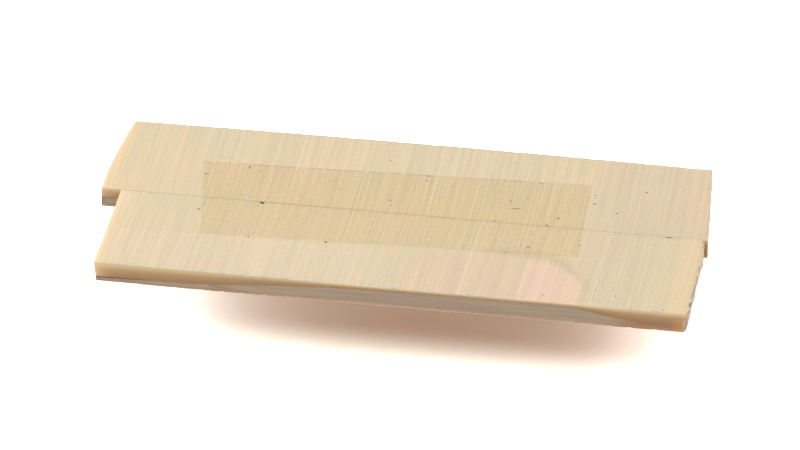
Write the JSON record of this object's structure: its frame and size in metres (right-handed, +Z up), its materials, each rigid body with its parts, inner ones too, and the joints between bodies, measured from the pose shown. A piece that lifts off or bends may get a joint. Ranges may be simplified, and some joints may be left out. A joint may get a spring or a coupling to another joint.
{
  "type": "bone folder blank pair",
  "caption": "Flat sawn bone blanks butted edge to edge, held on top by a clear tape strip across the seam that lets them fold shut like a book.",
  "frame": {"origin": "on the resting plane, below the middle of the seam between the two blanks", "axes": "+X along the seam towards the blanks' flush end, +Y across the seam from the front blank to the rear blank, +Z up, out of the taped faces"},
  "size_m": [0.1127, 0.0515, 0.0041],
  "materials": {
    "bone": "satin",
    "tape_film": "gloss",
    "tape_adhesive": "satin"
  },
  "bodies": {
    "rear": {"rear_blank": "bone", "tape_film_rear": "tape_film", "tape_adhesive_rear": "tape_adhesive"},
    "front": {"front_blank": "bone", "tape_film_front": "tape_film", "tape_adhesive_front": "tape_adhesive"}
  },
  "joints": [
    {"name": "tape_fold", "type": "hinge", "parent": "rear", "child": "front", "pos_m": [0, 0, 0.00408], "axis": [-1, 0, 0], "range_deg": [0, 180]}
  ]
}
